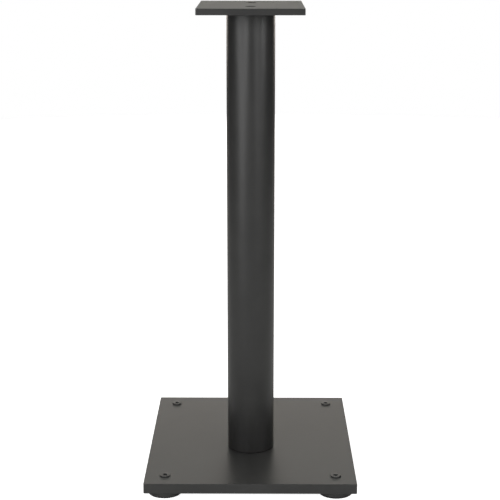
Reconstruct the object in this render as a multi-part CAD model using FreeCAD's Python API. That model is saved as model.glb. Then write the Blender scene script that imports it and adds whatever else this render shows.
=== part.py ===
import FreeCAD, Part
import math
import os

from FreeCAD import Vector

# Floor-standing loudspeaker stand: a flat base plate on four levelling feet, a round
# tubular column set forward on it, and a small top plate that carries the loudspeaker.
#
# Millimetres. The origin is on the floor under the middle of the base plate.
# +X is to the right seen from the front, +Y is to the rear and +Z is up.

# ---- driving dimensions -------------------------------------------------------------

stand_height = 600.0            # floor to the face that carries the loudspeaker

top_width = 129.0
top_depth = 160.0
top_thickness = 7.7
top_edge_radius = 0.4           # softened long edges of the top plate
top_corner_radius = 1.2         # its four upright corners

fixing_hole_diameter = 13.0     # clears a screw that goes up into the loudspeaker
fixing_hole_spacing = 76.0      # front hole to rear hole
fixing_hole_chamfer = 0.5

base_width = 266.0
base_depth = 304.0
base_thickness = 13.0
base_edge_radius = 0.5
base_corner_radius = 1.5

column_diameter = 60.5
column_wall = 2.0
column_setback = 26.5           # the column stands this far in front of the base's middle
column_foot_chamfer = 0.9       # outer edge where the tube meets the base plate

top_weld_leg = 3.0              # stitch welds under the top plate
top_weld_count = 4
top_weld_arc = 40.0             # degrees that one stitch covers
top_weld_fullness = 0.42        # how far its face stands off the corner, as a share of the leg

plug_thickness = 10.0           # steel disc welded into the column's lower end
plug_recess = 3.0               # plug's lower face above the end of the tube
plug_clearance = 0.1            # radial, before it is welded
plug_chamfer = 1.0

column_screw_count = 4
column_screw_circle = 34.0      # diameter that the screws stand on
column_screw_length = 25.0
column_screw_hole = 9.0         # clearance hole in the base plate
column_screw_sink = 0.2         # head's face below the plate's underside
column_screw_point = 1.0        # chamfer at the tip
csk_head_diameter = 16.0        # countersunk head, 90 degrees
csk_clearance = 0.1
csk_socket_depth = 3.0

thread_diameter = 8.0           # every screw in the stand is this size
thread_clearance = 0.05         # radial, between a screw and its tapped hole
hex_key_size = 5.0              # across the flats of every socket

foot_inset = 25.5               # foot axis from the two nearest edges of the base plate
disc_diameter = 44.0
disc_thickness = 6.6
disc_top_chamfer = 0.8
disc_bottom_chamfer = 0.6
foot_gap = 0.3                  # between the disc and the base plate, foot wound right up

pad_diameter = 42.6
pad_thickness = 1.5
pad_edge_radius = 0.5

level_travel = 4.0              # how far a foot winds down
screw_head_diameter = 13.0
screw_head_height = 5.0
screw_head_proud = 1.5          # head above the base plate with the foot wound right up
screw_head_chamfer = 0.6
screw_socket_depth = 3.0
screw_well_diameter = 13.8      # counterbore that the head sinks into
screw_well_spare = 0.1          # left under the head with the foot wound right down
screw_well_chamfer = 0.2

spigot_diameter = 6.0           # turned end of the levelling screw, which the disc hangs on
spigot_clearance = 0.1          # radial, in the disc's web
spigot_tip = 0.6                # left below the retaining clip
disc_bore_clearance = 0.15      # radial, around the screw's full diameter
disc_web_thickness = 2.0
disc_web_depth = 2.5            # top of the web below the top of the disc
disc_play = 0.05                # end play above and below the web
disc_pocket_diameter = 18.0     # room for the clip, closed by the pad

clip_diameter = 11.5
clip_thickness = 0.7
clip_groove_diameter = 5.0
clip_mouth = 4.4                # width of the opening that slides over the groove
clip_relief_diameter = 3.0
clip_relief_angle = 60.0        # degrees from the mouth to each relief

# ---- worked out from them -----------------------------------------------------------

base_bottom = pad_thickness + disc_thickness + foot_gap
base_top = base_bottom + base_thickness
top_bottom = stand_height - top_thickness
column_axis = Vector(0, -column_setback, 0)
column_outer = column_diameter / 2
column_inner = column_outer - column_wall
thread_radius = thread_diameter / 2
tapped_radius = thread_radius + thread_clearance

UP = Vector(0, 0, 1)
SAME = 1e-6                     # heights closer than this are one height
CORNERS = {
    "front_left": (-1, -1),
    "front_right": (1, -1),
    "rear_left": (-1, 1),
    "rear_right": (1, 1),
}


def cylinder(radius, low, high, axis_at=Vector()):
    """Upright cylinder between two heights."""
    return Part.makeCylinder(radius, high - low, axis_at + Vector(0, 0, low), UP)


def cone(low_radius, high_radius, low, high, axis_at=Vector()):
    """Upright frustum between two heights."""
    return Part.makeCone(low_radius, high_radius, high - low, axis_at + Vector(0, 0, low), UP)


def hexagon(across_flats, low, high, axis_at=Vector()):
    """Upright hexagonal prism, for a key's socket."""
    corner = across_flats / math.sqrt(3)
    turns = [math.tau * i / 6 for i in range(6)]
    points = [axis_at + Vector(corner * math.cos(t), corner * math.sin(t), low) for t in turns]
    outline = Part.makePolygon(points + points[:1])
    return Part.Face(outline).extrude(Vector(0, 0, high - low))


def ring_of(count, diameter, first_angle=0.0):
    """Points evenly spaced on a circle about the column's axis."""
    step = 360.0 / count
    angles = [math.radians(first_angle + step * i) for i in range(count)]
    radius = diameter / 2
    return [column_axis + Vector(radius * math.cos(a), radius * math.sin(a), 0) for a in angles]


def revolved(outline, axis_at, angle):
    """Solid turned about an upright axis from a closed outline of edges."""
    face = Part.Face(Part.Wire(outline))
    face.translate(axis_at)
    return face.revolve(axis_at, UP, angle)


def upright_edges(shape):
    return [e for e in shape.Edges if e.BoundBox.ZLength > e.BoundBox.XLength + e.BoundBox.YLength]


def level_edges(shape, height):
    """Edges that lie wholly at one height."""
    return [e for e in shape.Edges
            if abs(e.BoundBox.ZMin - height) < SAME and abs(e.BoundBox.ZMax - height) < SAME]


def softened_plate(width, depth, low, thickness, corner_radius, edge_radius, middle=Vector()):
    """Flat plate with rounded upright corners and lightly rounded rims."""
    corner = middle + Vector(-width / 2, -depth / 2, low)
    plate = Part.makeBox(width, depth, thickness, corner)
    plate = plate.makeFillet(corner_radius, upright_edges(plate))
    rims = level_edges(plate, low) + level_edges(plate, low + thickness)
    return plate.makeFillet(edge_radius, rims)


def foot_axis(corner):
    """Where the foot under a named corner of the base plate stands."""
    side, end = CORNERS[corner]
    return Vector(side * (base_width / 2 - foot_inset), end * (base_depth / 2 - foot_inset), 0)


# ---- top plate and column -----------------------------------------------------------

def top_plate():
    """Plate that the loudspeaker stands on, with a fixing hole before and behind the column."""
    plate = softened_plate(top_width, top_depth, top_bottom, top_thickness,
                           top_corner_radius, top_edge_radius, column_axis)
    radius = fixing_hole_diameter / 2
    mouth = radius + fixing_hole_chamfer
    for end in (-1, 1):
        at = column_axis + Vector(0, end * fixing_hole_spacing / 2, 0)
        plate = plate.cut(cylinder(radius, top_bottom, stand_height, at))
        plate = plate.cut(cone(radius, mouth, stand_height - fixing_hole_chamfer, stand_height, at))
        plate = plate.cut(cone(mouth, radius, top_bottom, top_bottom + fixing_hole_chamfer, at))
    return plate


def stitch_weld(middle_angle):
    """Fillet of weld metal in the corner between the tube and the top plate."""
    low = top_bottom - top_weld_leg
    out = column_outer + top_weld_leg
    bulge = top_weld_fullness * top_weld_leg
    foot = Vector(column_outer, 0, low)
    toe = Vector(out, 0, top_bottom)
    root = Vector(column_outer, 0, top_bottom)
    crown = Vector(column_outer + bulge, 0, top_bottom - bulge)
    outline = [
        Part.LineSegment(root, foot).toShape(),
        Part.Arc(foot, crown, toe).toShape(),
        Part.LineSegment(toe, root).toShape(),
    ]
    bead = revolved(outline, column_axis, top_weld_arc)
    bead.rotate(column_axis, UP, middle_angle - top_weld_arc / 2)
    return bead


def column_tube():
    """Round tube, open inside, stitch-welded under the top plate."""
    tube = cylinder(column_outer, base_top, top_bottom, column_axis)
    tube = tube.makeChamfer(column_foot_chamfer, level_edges(tube, base_top))
    tube = tube.cut(cylinder(column_inner, base_top, top_bottom, column_axis))
    step = 360.0 / top_weld_count
    for i in range(top_weld_count):
        tube = tube.fuse(stitch_weld(step * (i + 0.5)))
    return tube


def column_plug():
    """Disc welded into the tube's lower end, with a tapped hole for each column screw."""
    low = base_top + plug_recess
    radius = column_inner - plug_clearance
    plug = cylinder(radius, low, low + plug_thickness, column_axis)
    plug = plug.makeChamfer(plug_chamfer, level_edges(plug, low + plug_thickness))
    weld = cylinder(column_inner, base_top, low, column_axis)
    weld = weld.cut(cone(column_inner, column_inner - plug_recess, base_top, low, column_axis))
    plug = plug.fuse(weld)
    for at in ring_of(column_screw_count, column_screw_circle, 180.0 / column_screw_count):
        plug = plug.cut(cylinder(tapped_radius, low, low + plug_thickness, at))
    return plug


def column_screw(at):
    """Countersunk socket screw, driven up through the base plate into the plug."""
    low = base_bottom + column_screw_sink
    head = csk_head_diameter / 2
    neck = low + head - thread_radius
    tip = low + column_screw_length
    screw = cone(head, thread_radius, low, neck, at)
    screw = screw.fuse(cylinder(thread_radius, neck, tip - column_screw_point, at))
    screw = screw.fuse(cone(thread_radius, thread_radius - column_screw_point,
                            tip - column_screw_point, tip, at))
    return screw.cut(hexagon(hex_key_size, low, low + csk_socket_depth, at))


def column_screws():
    spots = ring_of(column_screw_count, column_screw_circle, 180.0 / column_screw_count)
    return Part.makeCompound([column_screw(at) for at in spots])


# ---- base plate ---------------------------------------------------------------------

def countersink(at):
    """Hole for a column screw, opening at the plate's underside."""
    mouth = csk_head_diameter / 2 + csk_clearance + column_screw_sink
    hole = column_screw_hole / 2
    sink = cone(mouth, hole, base_bottom, base_bottom + mouth - hole, at)
    return sink.fuse(cylinder(hole, base_bottom, base_top, at))


def levelling_hole(at):
    """Tapped hole for a levelling screw, with the well that its head winds down into."""
    well_floor = base_top + screw_head_proud - screw_head_height - level_travel - screw_well_spare
    well = screw_well_diameter / 2
    hole = cylinder(tapped_radius, base_bottom, base_top, at)
    hole = hole.fuse(cylinder(well, well_floor, base_top, at))
    return hole.fuse(cone(well, well + screw_well_chamfer, base_top - screw_well_chamfer, base_top, at))


def base_plate():
    """Heavy flat plate, bolted to the column from below and carried by four feet."""
    plate = softened_plate(base_width, base_depth, base_bottom, base_thickness,
                           base_corner_radius, base_edge_radius)
    for at in ring_of(column_screw_count, column_screw_circle, 180.0 / column_screw_count):
        plate = plate.cut(countersink(at))
    for corner in CORNERS:
        plate = plate.cut(levelling_hole(foot_axis(corner)))
    return plate


# ---- one levelling foot -------------------------------------------------------------

disc_bottom = pad_thickness
disc_top = disc_bottom + disc_thickness
web_top = disc_top - disc_web_depth
web_bottom = web_top - disc_web_thickness
clip_top = web_bottom - disc_play


def levelling_screw(at):
    """Low-head socket screw that is turned from above; its turned-down end holds the disc."""
    head_top = base_top + screw_head_proud
    head_bottom = head_top - screw_head_height
    shoulder = web_top + disc_play
    spigot = spigot_diameter / 2
    spigot_end = clip_top - clip_thickness - spigot_tip
    head = cylinder(screw_head_diameter / 2, head_bottom, head_top, at)
    head = head.makeChamfer(screw_head_chamfer, level_edges(head, head_top))
    screw = head.fuse(cylinder(thread_radius, shoulder, head_bottom, at))
    screw = screw.fuse(cylinder(spigot, spigot_end, shoulder, at))
    groove = cylinder(spigot, clip_top - clip_thickness, clip_top, at)
    groove = groove.cut(cylinder(clip_groove_diameter / 2, clip_top - clip_thickness, clip_top, at))
    screw = screw.cut(groove)
    return screw.cut(hexagon(hex_key_size, head_top - screw_socket_depth, head_top, at))


def foot_disc(at):
    """Turned disc that hangs on the screw and stays still on the floor while the screw turns."""
    disc = cylinder(disc_diameter / 2, disc_bottom, disc_top, at)
    disc = disc.makeChamfer(disc_top_chamfer, level_edges(disc, disc_top))
    disc = disc.makeChamfer(disc_bottom_chamfer, level_edges(disc, disc_bottom))
    disc = disc.cut(cylinder(thread_radius + disc_bore_clearance, web_top, disc_top, at))
    disc = disc.cut(cylinder(spigot_diameter / 2 + spigot_clearance, web_bottom, web_top, at))
    return disc.cut(cylinder(disc_pocket_diameter / 2, disc_bottom, web_bottom, at))


def retaining_clip(at):
    """Sprung clip in the screw's groove, open on one side, that keeps the disc on."""
    low = clip_top - clip_thickness
    clip = cylinder(clip_diameter / 2, low, clip_top, at)
    clip = clip.cut(cylinder(clip_groove_diameter / 2, low, clip_top, at))
    mouth = Part.makeBox(clip_mouth, clip_diameter, clip_thickness,
                         at + Vector(-clip_mouth / 2, 0, low))
    clip = clip.cut(mouth)
    relief_circle = (clip_groove_diameter + clip_relief_diameter / 2) / 2
    for side in (-1, 1):
        turn = math.radians(270 + side * clip_relief_angle)
        spot = at + Vector(relief_circle * math.cos(turn), relief_circle * math.sin(turn), 0)
        clip = clip.cut(cylinder(clip_relief_diameter / 2, low, clip_top, spot))
    return clip


def foot_pad(at):
    """Rubber pad bonded under the disc, the only thing that touches the floor."""
    pad = cylinder(pad_diameter / 2, 0, pad_thickness, at)
    return pad.makeFillet(pad_edge_radius, level_edges(pad, 0))


def build():
    """Every node of the stand, by name."""
    nodes = {
        "top_plate": top_plate(),
        "column_tube": column_tube(),
        "column_plug": column_plug(),
        "column_screws": column_screws(),
        "base_plate": base_plate(),
    }
    for corner in CORNERS:
        at = foot_axis(corner)
        nodes["levelling_screw_" + corner] = levelling_screw(at)
        nodes["foot_disc_" + corner] = foot_disc(at)
        nodes["retaining_clip_" + corner] = retaining_clip(at)
        nodes["foot_pad_" + corner] = foot_pad(at)
    return nodes


os.makedirs("parts", exist_ok=True)
for node, shape in build().items():
    shape.exportStep("parts/" + node + ".step")
    print(node, "solids", len(shape.Solids), "valid", shape.isValid(), "volume", round(shape.Volume, 1))
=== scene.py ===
import math

import bmesh
import bpy
from mathutils import Matrix, Vector


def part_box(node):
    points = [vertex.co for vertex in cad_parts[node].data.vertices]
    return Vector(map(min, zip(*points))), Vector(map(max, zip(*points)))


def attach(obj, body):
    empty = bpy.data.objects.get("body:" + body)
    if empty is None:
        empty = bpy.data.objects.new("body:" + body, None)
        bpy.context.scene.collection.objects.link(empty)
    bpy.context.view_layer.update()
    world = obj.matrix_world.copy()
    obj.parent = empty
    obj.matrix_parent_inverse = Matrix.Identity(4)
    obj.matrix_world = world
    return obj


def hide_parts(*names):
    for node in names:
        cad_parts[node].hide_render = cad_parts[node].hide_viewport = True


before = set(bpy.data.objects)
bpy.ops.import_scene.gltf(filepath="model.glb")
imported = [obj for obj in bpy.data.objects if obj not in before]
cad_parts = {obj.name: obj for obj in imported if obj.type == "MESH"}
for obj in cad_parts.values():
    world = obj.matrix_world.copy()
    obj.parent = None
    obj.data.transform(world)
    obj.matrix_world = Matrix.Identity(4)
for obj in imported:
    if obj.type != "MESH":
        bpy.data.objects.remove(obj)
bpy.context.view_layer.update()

MM = 0.001


# ---- node trees as expressions -----------------------------------------------------------------

class Wire:
    """An output of a node. Sums and products of wires add Math nodes to their tree."""

    def __init__(self, tree, socket):
        self.tree = tree
        self.socket = socket

    def other(self, output):
        """Another output of the same node."""
        return Wire(self.tree, self.socket.node.outputs[output])

    def math(self, operation, *values):
        return self.tree.node("ShaderNodeMath", {"operation": operation}, *values)

    def __add__(self, other):
        return self.math("ADD", self, other)

    def __radd__(self, other):
        return self.math("ADD", other, self)

    def __sub__(self, other):
        return self.math("SUBTRACT", self, other)

    def __rsub__(self, other):
        return self.math("SUBTRACT", other, self)

    def __mul__(self, other):
        return self.math("MULTIPLY", self, other)

    def __rmul__(self, other):
        return self.math("MULTIPLY", other, self)

    def __truediv__(self, other):
        return self.math("DIVIDE", self, other)

    def __abs__(self):
        return self.math("ABSOLUTE", self)

    def root(self):
        return self.math("SQRT", self)

    def sine(self):
        return self.math("SINE", self)

    def least(self, other):
        return self.math("MINIMUM", self, other)

    def most(self, other):
        return self.math("MAXIMUM", self, other)

    def ramp(self, low, high, start=0.0, end=1.0):
        """Goes smoothly from start to end while this wire goes from low to high."""
        return self.tree.node("ShaderNodeMapRange", {"interpolation_type": "SMOOTHSTEP"},
                              self, low, high, start, end)


class Tree:
    """A node tree that is written as expressions on its wires."""

    def __init__(self, node_tree):
        self.nodes = node_tree.nodes
        self.links = node_tree.links
        self.nodes.clear()

    def node(self, kind, settings=None, *values, output=0, **named):
        """Adds a node, sets it up, then gives its sockets values or wires, in order or by name.

        None leaves a socket as it is, and all wires of a list go to the one socket."""
        made = self.nodes.new(kind)
        for name, value in (settings or {}).items():
            setattr(made, name, value)
        for key, value in [*enumerate(values), *named.items()]:
            socket = made.inputs[key if isinstance(key, int) else key.replace("_", " ")]
            for part in value if isinstance(value, list) else [value]:
                if isinstance(part, Wire):
                    self.links.new(part.socket, socket)
                elif part is not None:
                    socket.default_value = part
        return Wire(self, made.outputs[output]) if made.outputs else None

    def mix(self, factor, start, end):
        """Colour between two colours."""
        colors = [color if isinstance(color, Wire) else (*color, 1.0) for color in (start, end)]
        others = [None] * 5             # sockets that mix numbers and vectors
        return self.node("ShaderNodeMix", {"data_type": "RGBA"}, factor, *others, *colors, output=2)


# ---- sizes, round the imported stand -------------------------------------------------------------

# sixteenths of a flat that each screw's socket stopped past the last one
SCREW_STOPS = {"front_left": 3, "front_right": 10, "rear_left": 6, "rear_right": 13}

top_low, top_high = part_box("top_plate")
base_low, base_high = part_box("base_plate")
COLUMN_Y = (top_low.y + top_high.y) / 2
COLUMN_AT = Vector((0.0, COLUMN_Y, 0.0))

COLUMN_RADIUS = 30.25 * MM
COLUMN_WALL = 2.0 * MM
COLUMN_FOOT_RELIEF = 1.2 * MM   # step turned under the tube, a dark line on the base
COLUMN_EDGE_RADIUS = 0.15 * MM
COLUMN_SIDES = 144

WELD_COUNT = 4
WELD_ARC = 40.0                 # degrees that one stitch covers
WELD_STEPS = 140                # points along one stitch
WELD_SIDES = 14                 # points round its bead
WELD_RADIUS = 1.5 * MM          # of the bead's round face
WELD_OFF = 0.55 * MM            # bead's middle, off the tube and off the plate
WELD_RIPPLE = 1.1 * MM          # from one ripple of the bead to the next
WELD_RIPPLE_DEPTH = 0.07        # share of the bead's radius
WELD_FADE = 0.07                # share of the stitch's length that each end grows over
WELD_TIP = 0.4                  # share of the bead's radius at its tips

SCREW_RADIUS = 4.0 * MM
SCREW_CORE = 3.42 * MM
SCREW_PITCH = 1.25 * MM
THREAD_STEPS = 24               # points to one turn
THREAD_FADE = 0.06              # share of the thread's length that each end grows over
THREAD_RUN_OUT = 0.35           # share of the tooth's height at its ends
THREAD_LOWER_GAP = 0.6 * MM     # plain core that is left under a thread
THREAD_UPPER_GAP = 0.9 * MM

KEY_FLATS = 5.0 * MM
SOCKET_MOUTH = 3.0 * MM         # radius of the socket's round chamfer
SOCKET_DEPTH = 3.0 * MM
SOCKET_DRILL = 2.35 * MM        # radius of the hole drilled for the flats
SOCKET_DRILL_STEP = 0.1 * MM
SOCKET_DRILL_POINT = 0.9 * MM

HEAD_HEIGHT = 5.0 * MM
HEAD_CHAMFER = 0.5 * MM
SPIGOT_RADIUS = 3.0 * MM
GROOVE_RADIUS = 2.5 * MM
SCREW_EDGE_RADIUS = 0.18 * MM

DISC_WEB_DEPTH = 2.5 * MM
DISC_WEB_THICKNESS = 2.0 * MM
DISC_PLAY = 0.05 * MM           # between the web and the screw's shoulder
DISC_TOP_CHAMFER = 0.8 * MM
DISC_BOTTOM_CHAMFER = 0.6 * MM
DISC_BORE_RADIUS = 4.15 * MM
DISC_WEB_BORE_RADIUS = 3.1 * MM
DISC_POCKET_RADIUS = 9.0 * MM
DISC_EDGE_RADIUS = 0.25 * MM
PAD_EDGE_RADIUS = 0.5 * MM

SINK_SCREW_COUNT = 4
SINK_SCREW_CIRCLE = 17.0 * MM   # radius that the column's screws stand at
SINK_HEAD_RADIUS = 8.0 * MM
SINK_SHANK = 1.5 * MM           # plain shank over the head, at the thread's full width
SINK_SHANK_CHAMFER = 0.5 * MM
SINK_THREAD_FROM = 3.0 * MM     # from the head's neck
SINK_TIP_CHAMFER = 0.5 * MM
SINK_EDGE_RADIUS = 0.15 * MM


def foot_at(corner):
    """Point of the floor that the foot's axis stands on."""
    low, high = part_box("foot_pad_" + corner)
    return Vector(((low.x + high.x) / 2, (low.y + high.y) / 2, 0.0))


def new_object(name, data):
    """Object of this mesh, lamp or camera, put in the scene."""
    made = bpy.data.objects.new(name, data)
    bpy.context.scene.collection.objects.link(made)
    return made


# ---- turned pieces -----------------------------------------------------------------------------

SIDES = 96                      # sixteen to each flat of a hex socket
SHARP_ANGLE = 32                # degrees, from which an edge isn't smoothed over


def softened(outline, radius, steps=3):
    """The outline's plain corners, each rounded by a short curve of about this radius."""
    points = [Vector(p) for p in outline]
    smooth = [outline[0]]
    for before, corner, after in zip(points, points[1:], points[2:]):
        reach = min(radius, (before - corner).length / 2, (after - corner).length / 2)
        start = corner + (before - corner).normalized() * reach
        end = corner + (after - corner).normalized() * reach
        for i in range(steps + 1):
            t = i / steps
            smooth.append(tuple(start * (1 - t) ** 2 + corner * 2 * t * (1 - t) + end * t ** 2))
    return smooth + [outline[-1]]


def hex_reach(flats, stop):
    """Radius of a hexagon that is flats across, by the angle. One corner is at the angle stop."""
    sixth = math.tau / 6
    return lambda angle: flats / 2 / math.cos((angle - stop) % sixth - sixth / 2)


def key_socket(face, way, stop=0.0):
    """Rings of a hex socket in a screw's face, from its drilled point up its flats.

    The screw's next ring is the mouth, at the face, and what joins them is a round chamfer that
    cuts the flats. way is 1 for a face that looks up and -1 for one that looks down."""
    flats = hex_reach(KEY_FLATS, stop)
    floor = face - way * SOCKET_DEPTH
    return [
        (0, floor - way * SOCKET_DRILL_POINT),
        (SOCKET_DRILL, floor - way * SOCKET_DRILL_STEP),
        (SOCKET_DRILL, floor),
        (flats, floor),
        (flats, lambda angle: face - way * (SOCKET_MOUTH - flats(angle))),
    ]


def turned(name, axis_at, rings, closed=False, sides=SIDES):
    """Piece made on a lathe. A ring is (radius, height), and either may depend on the angle."""
    shape = bmesh.new()
    loops = []
    for radius, height in rings:
        loop = []
        for i in range(1 if radius == 0 else sides):
            angle = math.tau * i / sides
            reach = radius(angle) if callable(radius) else radius
            level = height(angle) if callable(height) else height
            spot = (axis_at.x + reach * math.cos(angle), axis_at.y + reach * math.sin(angle), level)
            loop.append(shape.verts.new(spot))
        loops.append(loop)
    if closed:
        loops.append(loops[0])
    for inner, outer in zip(loops, loops[1:]):
        for i in range(sides):
            j = i + 1
            near, far = (i % len(inner), j % len(inner)), (i % len(outer), j % len(outer))
            spots = [inner[near[0]], inner[near[1]], outer[far[1]], outer[far[0]]]
            shape.faces.new(dict.fromkeys(spots))    # three corners, where a ring is one point
    bmesh.ops.recalc_face_normals(shape, faces=shape.faces)
    mesh = bpy.data.meshes.new(name)
    shape.to_mesh(mesh)
    shape.free()
    mesh.shade_smooth()
    mesh.set_sharp_from_angle(angle=math.radians(SHARP_ANGLE))
    return new_object(name, mesh)


# ---- pieces that nodes make --------------------------------------------------------------------

SOCKET_KINDS = {int: "NodeSocketInt", float: "NodeSocketFloat"}


class Recipe(Tree):
    """Geometry Nodes tree with named sizes. It runs once on a piece and leaves a plain mesh."""

    def __init__(self, name, **sizes):
        self.group = bpy.data.node_groups.new(name, "GeometryNodeTree")
        super().__init__(self.group)
        self.given = sizes
        self.identifiers = {}
        sockets = self.group.interface
        sockets.new_socket("Blank", in_out="INPUT", socket_type="NodeSocketGeometry")
        for size, value in sizes.items():
            kind = SOCKET_KINDS[type(value)]
            socket = sockets.new_socket(size, in_out="INPUT", socket_type=kind)
            self.identifiers[size] = socket.identifier
        sockets.new_socket("Piece", in_out="OUTPUT", socket_type="NodeSocketGeometry")
        self.blank = self.node("NodeGroupInput")
        self.size = {size: self.blank.other(size) for size in sizes}

    def vector(self, x=0.0, y=0.0, z=0.0):
        return self.node("ShaderNodeCombineXYZ", None, x, y, z)

    def run(self, piece, geometry, material):
        """Runs the tree on the piece, which keeps the result as its own mesh."""
        whole = self.node("GeometryNodeRealizeInstances", None, geometry)
        finished = self.node("GeometryNodeSetMaterial", None, Geometry=whole, Material=material)
        self.node("NodeGroupOutput", None, finished)
        modifier = piece.modifiers.new(self.group.name, "NODES")
        modifier.node_group = self.group
        for size, value in self.given.items():
            modifier[self.identifiers[size]] = value
        graph = bpy.context.evaluated_depsgraph_get()
        mesh = bpy.data.meshes.new_from_object(piece.evaluated_get(graph), depsgraph=graph)
        piece.modifiers.remove(modifier)
        piece.data = mesh


def tapered(along, share, tip):
    """1 along the middle of a curve, and tip at its ends, with this share of its length between."""
    return along.ramp(0.0, share, tip, 1.0).least(along.ramp(1 - share, 1.0, 1.0, tip))


def cut_thread(blank, axis_at, low, high, material):
    """Adds a right-hand thread to a screw's plain core, between two heights."""
    recipe = Recipe("right_hand_thread", Length=high - low, Pitch=SCREW_PITCH, Core=SCREW_CORE,
                    Crest=SCREW_RADIUS, Run_Out=THREAD_RUN_OUT)
    size = recipe.size
    line = recipe.node("GeometryNodeCurveSpiral", None, THREAD_STEPS, size["Length"] / size["Pitch"],
                       size["Core"], size["Core"], size["Length"], True)
    level = recipe.node("GeometryNodeSetCurveNormal", {"mode": "Z_UP"}, line)
    tooth = recipe.node("GeometryNodeCurvePrimitiveCircle", None, Resolution=3,
                        Radius=size["Crest"] - size["Core"])
    along = recipe.node("GeometryNodeSplineParameter")
    height = tapered(along, THREAD_FADE, size["Run_Out"])
    ridge = recipe.node("GeometryNodeCurveToMesh", None, level, tooth, height, True)
    placed = recipe.node("GeometryNodeTransform", None, Geometry=ridge,
                         Translation=recipe.vector(axis_at.x, axis_at.y, low))
    joined = recipe.node("GeometryNodeMeshBoolean", {"operation": "UNION", "solver": "EXACT"},
                         Mesh_2=[recipe.blank, placed])
    recipe.run(blank, joined, material)


# ---- finishes ----------------------------------------------------------------------------------

class Finish(Tree):
    """A material around one Principled shader, with the piece's own coordinates as wires."""

    def __init__(self, name, **constants):
        self.material = bpy.data.materials.new(name)
        self.material.use_nodes = True
        super().__init__(self.material.node_tree)
        self.place = self.node("ShaderNodeTexCoord", output="Object")
        split = self.node("ShaderNodeSeparateXYZ", None, self.place)
        self.x, self.y, self.z = (split.other(axis) for axis in "XYZ")
        self.shader = self.node("ShaderNodeBsdfPrincipled", None, **constants)
        self.node("ShaderNodeOutputMaterial", None, self.shader)

    def feed(self, socket, wire):
        self.links.new(wire.socket, self.shader.socket.node.inputs[socket])

    def noise(self, size, detail=2.0, rough=0.5):
        """Soft noise from 0 to 1 whose blotches are about size metres across."""
        return self.node("ShaderNodeTexNoise", None, Vector=self.place,
                         Scale=1 / size, Detail=detail, Roughness=rough)

    def relief(self, height, depth):
        """Tilts the surface by a height from 0 to 1 that stands for depth metres."""
        bump = self.node("ShaderNodeBump", None, Strength=1.0, Distance=depth, Height=height)
        self.feed("Normal", bump)

    def reach_from(self, axis_at, mirrored=False):
        """Distance from an upright axis, or from the nearest of the four that mirror it."""
        across = (abs(self.x) if mirrored else self.x) - abs(axis_at.x)
        along = abs(self.y) - abs(axis_at.y) if mirrored else self.y - axis_at.y
        return (across * across + along * along).root()


def tool_rings(reach, feed):
    """Rings from 0 to 1 that a lathe leaves, feed metres apart, where reach is from its axis."""
    return (reach * (math.tau / feed)).sine() * 0.5 + 0.5


GRAPHITE = (0.0200, 0.0199, 0.0196)
GRAPHITE_THIN = (0.0245, 0.0243, 0.0238)
GRAPHITE_RUBBED = (0.052, 0.051, 0.049)
GRAPHITE_PAINTED_LIGHT = 1.3            # painted light: the base plate's and feet's coat is made this much lighter than the tube's
# painted shade: black for the step under the tube, where its shadow falls
PAINTED_SHADE_BLACK = (0.003, 0.003, 0.003)
ZINC_BLACK = (0.045, 0.045, 0.046)
ZINC_CLOUD = (0.062, 0.061, 0.059)
RUBBER_BLACK = (0.010, 0.010, 0.011)
RUBBER_BLOOM = (0.017, 0.017, 0.018)
PHOSPHATE_DARK = (0.045, 0.044, 0.042)
PHOSPHATE_PALE = (0.085, 0.082, 0.078)
STEEL_BARE = (0.46, 0.45, 0.43)
STEEL_STRAW = (0.40, 0.29, 0.14)
STEEL_BLUE = (0.10, 0.12, 0.22)


def powder_coat(name, edge=None, gap=None, painted_light=1.0):
    """Satin graphite powder coat: fine grain, a little orange peel.

    It is rubbed where an edge is near, and painted black where a gap is given, as painted shade."""
    # painted light: the factor lightens a copy of the same coat
    thick, thin = ([level * painted_light for level in shade] for shade in (GRAPHITE, GRAPHITE_THIN))
    coat = Finish(name, Metallic=0.0, IOR=1.5)
    mottle = coat.noise(45 * MM, 3.0)
    grain = coat.noise(0.7 * MM)
    peel = coat.noise(2.6 * MM, 1.0)
    color = coat.mix(mottle.ramp(0.3, 0.7), thick, thin)
    rough = 0.34 + 0.04 * mottle + 0.02 * grain
    if edge:
        patches = coat.noise(5 * MM, 3.0).ramp(0.42, 0.68)
        rub = edge(coat).ramp(0.2 * MM, 1.5 * MM, 1.0, 0.0) * patches
        color = coat.mix(rub * 0.5, color, GRAPHITE_RUBBED)
        rough = rough - 0.05 * rub
    # painted shade: black in the step under the tube, where its shadow falls
    if gap:
        shade_mask = gap(coat)
        color = coat.mix(shade_mask, color, PAINTED_SHADE_BLACK)
        rough = rough.most(shade_mask * 0.9)
    coat.feed("Base Color", color)
    coat.feed("Roughness", rough)
    coat.relief(grain * 0.6 + peel * 0.4, 0.012 * MM)
    return coat.material


def black_zinc(name, axis_at, mirrored):
    """Satin black plating over a turned and cold-headed screw."""
    plate = Finish(name, Metallic=0.35, IOR=1.5)
    cloud = plate.noise(2.5 * MM, 3.0)
    pits = plate.noise(0.25 * MM)
    rings = tool_rings(plate.reach_from(axis_at, mirrored), 0.22 * MM)
    plate.feed("Base Color", plate.mix(cloud.ramp(0.35, 0.7), ZINC_BLACK, ZINC_CLOUD))
    plate.feed("Roughness", 0.35 + 0.08 * cloud)
    plate.relief(rings * 0.5 + pits * 0.5, 0.005 * MM)
    return plate.material


def moulded_rubber(name):
    """Matt black rubber with a fine moulded grain and a little bloom."""
    rubber = Finish(name, Metallic=0.0, IOR=1.52)
    bloom = rubber.noise(6 * MM, 4.0)
    grain = rubber.noise(0.35 * MM, 3.0)
    rubber.feed("Base Color", rubber.mix(bloom.ramp(0.4, 0.75), RUBBER_BLACK, RUBBER_BLOOM))
    rubber.feed("Roughness", 0.78 + 0.12 * bloom)
    rubber.relief(grain, 0.025 * MM)
    return rubber.material


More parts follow.
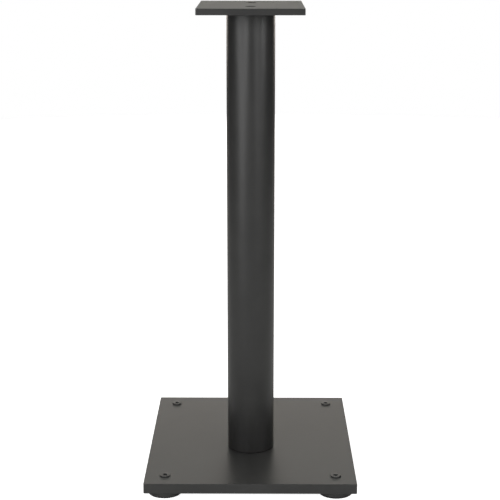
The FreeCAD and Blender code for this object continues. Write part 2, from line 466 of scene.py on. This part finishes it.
def phosphated_spring(name):
    """Dark grey crystalline phosphate on a stamped spring-steel clip."""
    spring = Finish(name, Metallic=0.7, IOR=1.5)
    crystals = spring.node("ShaderNodeTexVoronoi", {"feature": "F1"}, Vector=spring.place,
                           Scale=1 / (0.12 * MM))
    cloud = spring.noise(1.5 * MM, 3.0)
    spring.feed("Base Color", spring.mix(cloud, PHOSPHATE_DARK, PHOSPHATE_PALE))
    spring.feed("Roughness", 0.5 + 0.15 * cloud)
    spring.relief(crystals, 0.008 * MM)
    return spring.material


def faced_steel(name):
    """Bare steel faced on a lathe, straw and then blue towards the weld at its rim."""
    steel = Finish(name, Metallic=1.0, IOR=2.5)
    reach = steel.reach_from(COLUMN_AT)
    grain = steel.noise(0.8 * MM, 3.0)
    rings = tool_rings(reach, 0.3 * MM)
    straw = steel.mix(reach.ramp(17 * MM, 22 * MM), STEEL_BARE, STEEL_STRAW)
    steel.feed("Base Color", steel.mix(reach.ramp(22 * MM, 26 * MM), straw, STEEL_BLUE))
    steel.feed("Roughness", 0.30 + 0.15 * grain)
    steel.relief(rings * 0.7 + grain * 0.3, 0.006 * MM)
    return steel.material


def plate_edge(low, high):
    """Distance to a plate's nearest edge: the middle one of those to its faces in X, Y and Z."""
    middle, half = (low + high) / 2, (high - low) / 2

    def edge(finish):
        across = half.x - abs(finish.x - middle.x)
        along = half.y - abs(finish.y - middle.y)
        through = half.z - abs(finish.z - middle.z)
        return across.least(along).most(across.most(along).least(through))
    return edge


def foot_edge(low, high):
    """Distance to the upper or lower rim of a foot's disc."""
    radius = (high.x - low.x) / 2

    def edge(finish):
        inward = radius - finish.reach_from(foot_at("front_left"), mirrored=True)
        return abs(inward).most((finish.z - low.z).least(high.z - finish.z))
    return edge


def column_gap_painted_shade(finish):
    """Painted shade in the step under the tube: 1 there, and 0 above it."""
    lip = base_high.z + COLUMN_FOOT_RELIEF
    return finish.z.ramp(lip - COLUMN_EDGE_RADIUS, lip - COLUMN_EDGE_RADIUS / 3, 1.0, 0.0)


# ---- the stand's pieces ------------------------------------------------------------------------

def dress(piece, body, material=None, stands_for=()):
    """Gives a new piece its material, the body it rides on and the nodes it stands for."""
    if material:
        piece.data.materials.clear()
        piece.data.materials.append(material)
    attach(piece, body)
    if stands_for:
        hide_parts(*stands_for)


def coat_node(name, material):
    """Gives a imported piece, which keeps its own mesh, a finish."""
    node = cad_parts[name]
    node.data.materials.clear()
    node.data.materials.append(material)


def column(material):
    """Round tube that stands on the base plate and carries the top plate."""
    foot, top = base_high.z, top_low.z
    inner = COLUMN_RADIUS - COLUMN_WALL
    relieved, lip = COLUMN_RADIUS - COLUMN_FOOT_RELIEF, foot + COLUMN_FOOT_RELIEF
    outline = [
        (inner, foot),
        (relieved, foot),
        (relieved, lip),
        (COLUMN_RADIUS, lip),
        (COLUMN_RADIUS, top),
        (inner, top),
    ]
    rings = softened(outline, COLUMN_EDGE_RADIUS)
    tube = turned("column", COLUMN_AT, rings, closed=True, sides=COLUMN_SIDES)
    dress(tube, "stand", material, ["column_tube"])


def stitch_welds(material):
    """Rippled beads of weld in the corner between the tube and the top plate."""
    recipe = Recipe("stitch_welds", Count=WELD_COUNT, Arc=math.radians(WELD_ARC), Ripple=WELD_RIPPLE,
                    Reach=COLUMN_RADIUS + WELD_OFF, Bead=WELD_RADIUS)
    size = recipe.size
    path = recipe.node("GeometryNodeCurveArc", {"mode": "RADIUS"}, Resolution=WELD_STEPS,
                       Radius=size["Reach"], Start_Angle=size["Arc"] * -0.5, Sweep_Angle=size["Arc"])
    section = recipe.node("GeometryNodeCurvePrimitiveCircle", None, Resolution=WELD_SIDES,
                          Radius=size["Bead"])
    along = recipe.node("GeometryNodeSplineParameter")
    ripple = abs((along.other("Length") * math.pi / size["Ripple"]).sine())
    swell = (1 - WELD_RIPPLE_DEPTH) + WELD_RIPPLE_DEPTH * ripple
    thickness = swell * tapered(along, WELD_FADE, WELD_TIP)
    bead = recipe.node("GeometryNodeCurveToMesh", None, path, section, thickness, True)
    spots = recipe.node("GeometryNodeMeshLine", None, Count=size["Count"], Offset=(0, 0, 0),
                        Start_Location=(0.0, COLUMN_Y, top_low.z - WELD_OFF))
    turn = (recipe.node("GeometryNodeInputIndex") + 0.5) * math.tau / size["Count"]
    copies = recipe.node("GeometryNodeInstanceOnPoints", None, Points=spots, Instance=bead,
                         Rotation=recipe.vector(z=turn))
    welds = new_object("top_stitch_welds", bpy.data.meshes.new("top_stitch_welds"))
    recipe.run(welds, copies, material)
    dress(welds, "stand")


def levelling_screw(corner, stop, material):
    """Low-head socket screw with a turned-down end that the foot's disc hangs on."""
    node = "levelling_screw_" + corner
    low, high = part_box(node)
    clip_low, clip_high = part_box("retaining_clip_" + corner)
    web_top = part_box("foot_disc_" + corner)[1].z - DISC_WEB_DEPTH
    head, under = (high.x - low.x) / 2, high.z - HEAD_HEIGHT
    shoulder = web_top + DISC_PLAY
    body = [
        (SOCKET_MOUTH, high.z),
        (head - HEAD_CHAMFER, high.z),
        (head, high.z - HEAD_CHAMFER),
        (head, under),
        (SCREW_CORE, under),
        (SCREW_CORE, shoulder),
        (SPIGOT_RADIUS, shoulder),
        (SPIGOT_RADIUS, clip_high.z),
        (GROOVE_RADIUS, clip_high.z),
        (GROOVE_RADIUS, clip_low.z),
        (SPIGOT_RADIUS, clip_low.z),
        (SPIGOT_RADIUS, low.z),
        (0, low.z),
    ]
    step = math.tau / SIDES
    rings = key_socket(high.z, 1, stop * step) + softened(body, SCREW_EDGE_RADIUS)
    at = foot_at(corner)
    screw = turned(node + "_threaded", at, rings)
    cut_thread(screw, at, shoulder + THREAD_LOWER_GAP, under - THREAD_UPPER_GAP, material)
    dress(screw, "screw_" + corner, stands_for=[node])


def foot_disc(corner, material):
    """Turned disc with a stepped bore, softened at every edge."""
    node = "foot_disc_" + corner
    low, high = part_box(node)
    radius = (high.x - low.x) / 2
    web_top = high.z - DISC_WEB_DEPTH
    web_bottom = web_top - DISC_WEB_THICKNESS
    outline = [
        (DISC_POCKET_RADIUS, low.z),
        (radius - DISC_BOTTOM_CHAMFER, low.z),
        (radius, low.z + DISC_BOTTOM_CHAMFER),
        (radius, high.z - DISC_TOP_CHAMFER),
        (radius - DISC_TOP_CHAMFER, high.z),
        (DISC_BORE_RADIUS, high.z),
        (DISC_BORE_RADIUS, web_top),
        (DISC_WEB_BORE_RADIUS, web_top),
        (DISC_WEB_BORE_RADIUS, web_bottom),
        (DISC_POCKET_RADIUS, web_bottom),
    ]
    rings = softened(outline, DISC_EDGE_RADIUS)
    disc = turned(node + "_turned", foot_at(corner), rings, closed=True)
    dress(disc, "foot_" + corner, material, [node])


def foot_pad(corner, material):
    """Rubber pad with a rounded rim."""
    node = "foot_pad_" + corner
    low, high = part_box(node)
    radius = (high.x - low.x) / 2
    outline = [(0, low.z), (radius, low.z), (radius, high.z), (0, high.z)]
    rings = softened(outline, PAD_EDGE_RADIUS, steps=5)
    pad = turned(node + "_moulded", foot_at(corner), rings)
    dress(pad, "foot_" + corner, material, [node])


def column_screws(material):
    """Ring of countersunk socket screws, driven up through the base plate to any turn."""
    low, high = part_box("column_screws")
    neck = low.z + SINK_HEAD_RADIUS - SCREW_RADIUS
    shank = neck + SINK_SHANK
    body = [
        (SOCKET_MOUTH, low.z),
        (SINK_HEAD_RADIUS, low.z),
        (SCREW_RADIUS, neck),
        (SCREW_RADIUS, shank),
        (SCREW_CORE, shank + SINK_SHANK_CHAMFER),
        (SCREW_CORE, high.z - SINK_TIP_CHAMFER),
        (SCREW_CORE - SINK_TIP_CHAMFER, high.z),
        (0, high.z),
    ]
    rings = key_socket(low.z, -1) + softened(body, SINK_EDGE_RADIUS)
    origin = Vector()
    screw = turned("column_screw_ring", origin, rings)
    cut_thread(screw, origin, neck + SINK_THREAD_FROM, high.z - THREAD_UPPER_GAP, material)
    recipe = Recipe("ring_of_screws", Count=SINK_SCREW_COUNT, Circle=SINK_SCREW_CIRCLE, Seed=5)
    size = recipe.size
    ring = recipe.node("GeometryNodeMeshCircle", {"fill_type": "NONE"}, size["Count"], size["Circle"])
    spots = recipe.node("GeometryNodeTransform", None, Geometry=ring, Translation=COLUMN_AT,
                        Rotation=recipe.vector(z=math.pi / SINK_SCREW_COUNT))
    turn = recipe.node("FunctionNodeRandomValue", {"data_type": "FLOAT"}, None, None, 0.0, math.tau,
                       Seed=size["Seed"], output=1)
    copies = recipe.node("GeometryNodeInstanceOnPoints", None, Points=spots, Instance=recipe.blank,
                         Rotation=recipe.vector(z=turn))
    recipe.run(screw, copies, material)
    dress(screw, "stand", stands_for=["column_screws"])


plain_coat = powder_coat("graphite_coat")
foot_coat = powder_coat("graphite_coat_feet", foot_edge(*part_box("foot_disc_front_left")),
                        painted_light=GRAPHITE_PAINTED_LIGHT)
column_coat = powder_coat("graphite_coat_column", gap=column_gap_painted_shade)
top_coat = powder_coat("graphite_coat_top", plate_edge(top_low, top_high))
base_coat = powder_coat("graphite_coat_base", plate_edge(base_low, base_high), painted_light=GRAPHITE_PAINTED_LIGHT)
screw_black = black_zinc("black_zinc_levelling_screws", foot_at("front_left"), True)
sunk_black = black_zinc("black_zinc_column_screws", COLUMN_AT, False)
rubber = moulded_rubber("black_rubber")
spring = phosphated_spring("phosphated_spring_steel")

coat_node("top_plate", top_coat)
coat_node("base_plate", base_coat)
coat_node("column_plug", faced_steel("faced_steel"))
column(column_coat)
stitch_welds(plain_coat)
column_screws(sunk_black)
for corner, stop in SCREW_STOPS.items():
    levelling_screw(corner, stop, screw_black)
    foot_disc(corner, foot_coat)
    foot_pad(corner, rubber)
    coat_node("retaining_clip_" + corner, spring)


# ---- studio ------------------------------------------------------------------------------------

SENSOR = 36.0                   # millimetres, across the picture
LENS = 93.54
CAMERA_AT = Vector((0.00889, -1.6442, 0.6980))
CAMERA_DOWN = 14.17             # degrees
CAMERA_LEFT = 0.35

WHITE = (1.0, 1.0, 1.0)
WARM = (0.99, 1.0, 0.94)
AMBIENT = 0.047                 # light of the room, all round

FLOOR_PAPER = (0.8, 0.8, 0.8)
FLOOR_GLOW = 0.047
FLOOR_SEEN = 0.93               # floor's level in a full shadow, to the camera

WALL_RADIUS = 3.2
WALL_HALF_ANGLE = 36.0          # degrees
WALL_HEIGHT = 3.0
WALL_STEPS = 24
LOW_STRIP = (4.15, 3.85, 3.55)  # strips of light on the wall behind the stand
LOW_STRIP_FROM = 0.35           # metres above the floor
LOW_STRIP_TO = 0.85
LOW_STRIP_FADE = 0.1
HIGH_STRIP = (1.76, 1.78, 1.66)
HIGH_STRIP_FROM = 1.7
HIGH_STRIP_FADE = 0.2

LAMP_AIM = Vector((0.0, 0.0, 0.35))
UPRIGHT = {"height": 0.95, "width": 0.35, "tall": 0.6, "distance": 1.7}
WIDE = {"height": 0.95, "width": 0.6, "tall": 0.6, "distance": 1.7}
LOW = {"height": 0.45, "width": 0.9, "tall": 0.6, "distance": 1.7}
LOW_FRONT = {"height": 0.3, "width": 1.6, "tall": 0.5, "distance": 2.6}
OVERHEAD = {"height": 2.2, "width": 1.2, "tall": 1.2, "distance": 0.9, "color": WARM}


def stage_mesh(name, points, faces, material):
    mesh = bpy.data.meshes.new(name)
    mesh.from_pydata(points, [], faces)
    mesh.materials.append(material)
    new_object(name, mesh)


def camera():
    """The photograph's view: turned a little to the left and tipped down."""
    turned_left = Matrix.Rotation(math.radians(CAMERA_LEFT), 4, "Z")
    tipped = Matrix.Rotation(math.radians(90 - CAMERA_DOWN), 4, "X")
    data = bpy.data.cameras.new("camera")
    data.sensor_width = SENSOR
    data.lens = LENS
    eye = new_object("camera", data)
    eye.matrix_world = Matrix.Translation(CAMERA_AT) @ turned_left @ tipped
    bpy.context.scene.camera = eye


def softbox(name, azimuth, power, height, width, tall, distance, color=WHITE):
    """Rectangular lamp that points at the column. Azimuth 0 is the front, and 90 the right."""
    angle = math.radians(azimuth)
    at = Vector((distance * math.sin(angle), -distance * math.cos(angle), height))
    data = bpy.data.lights.new(name, "AREA")
    data.shape = "RECTANGLE"
    data.size = width
    data.size_y = tall
    data.energy = power
    data.color = color
    facing = (LAMP_AIM - at).to_track_quat("-Z", "Y")
    new_object(name, data).matrix_world = Matrix.Translation(at) @ facing.to_matrix().to_4x4()


def seen_by_camera(tree):
    """1 for what the camera sees straight away, and 0 for the light that reaches the stand."""
    return tree.node("ShaderNodeLightPath", output="Is Camera Ray")


def room():
    """White to the camera, and a dim even light to the stand."""
    made = bpy.data.worlds.new("room")
    made.use_nodes = True
    bpy.context.scene.world = made
    tree = Tree(made.node_tree)
    color = tree.mix(seen_by_camera(tree), (AMBIENT,) * 3, WHITE)
    tree.node("ShaderNodeOutputWorld", None, tree.node("ShaderNodeBackground", None, color, 1.0))


def back_wall():
    """Part of a drum about the stand's axis: white to the camera, with two strips of light."""
    paper = bpy.data.materials.new("white_paper")
    paper.use_nodes = True
    tree = Tree(paper.node_tree)
    place = tree.node("ShaderNodeTexCoord", output="Object")
    height = tree.node("ShaderNodeSeparateXYZ", None, place, output="Z")
    rise = height.ramp(LOW_STRIP_FROM, LOW_STRIP_FROM + LOW_STRIP_FADE)
    fall = height.ramp(LOW_STRIP_TO - LOW_STRIP_FADE, LOW_STRIP_TO, 1.0, 0.0)
    high = height.ramp(HIGH_STRIP_FROM, HIGH_STRIP_FROM + HIGH_STRIP_FADE)
    strips = tree.mix(rise.least(fall), tree.mix(high, (0.0,) * 3, HIGH_STRIP), LOW_STRIP)
    color = tree.mix(seen_by_camera(tree), strips, WHITE)
    tree.node("ShaderNodeOutputMaterial", None, tree.node("ShaderNodeEmission", None, color, 1.0))
    points = []
    for i in range(WALL_STEPS + 1):
        angle = math.radians(WALL_HALF_ANGLE * (2 * i / WALL_STEPS - 1))
        spot = (WALL_RADIUS * math.sin(angle), WALL_RADIUS * math.cos(angle))
        points += [(*spot, 0.0), (*spot, WALL_HEIGHT)]
    faces = [(2 * i, 2 * i + 1, 2 * i + 3, 2 * i + 2) for i in range(WALL_STEPS)]
    stage_mesh("back_wall", points, faces, paper)


def floor():
    """Pale floor, which the camera sees as white paper that still takes the stand's shadow."""
    paper = bpy.data.materials.new("floor_paper")
    paper.use_nodes = True
    tree = Tree(paper.node_tree)
    lit = tree.node("ShaderNodeBsdfDiffuse", None, (*FLOOR_PAPER, 1.0))
    level = seen_by_camera(tree) * (FLOOR_SEEN - FLOOR_GLOW) + FLOOR_GLOW
    glow = tree.node("ShaderNodeEmission", None, (*WHITE, 1.0), level)
    tree.node("ShaderNodeOutputMaterial", None, tree.node("ShaderNodeAddShader", None, lit, glow))
    reach = WALL_RADIUS
    corners = [(-reach, -reach, 0), (reach, -reach, 0), (reach, reach, 0), (-reach, reach, 0)]
    stage_mesh("floor", corners, [(0, 1, 2, 3)], paper)


camera()
room()
back_wall()
floor()
softbox("left_inner_softbox", -20, 5.4, **UPRIGHT)
softbox("left_softbox", -48, 1.7, **UPRIGHT)
softbox("left_side_softbox", -62, 3.7, **UPRIGHT)
softbox("left_low_softbox", -40, 4.8, **LOW)
softbox("right_softbox", 27, 3.3, **WIDE)
softbox("right_side_softbox", 60, 5.2, **UPRIGHT)
softbox("right_low_softbox", 36, 1.7, **LOW)
softbox("front_low_softbox", 0, 1.4, **LOW_FRONT)
softbox("top_front_softbox", 0, 4.2, **OVERHEAD)
softbox("top_left_softbox", -90, 3.7, **OVERHEAD)
softbox("top_right_softbox", 90, 9.2, **OVERHEAD)

bpy.context.scene.view_settings.view_transform = "Standard"
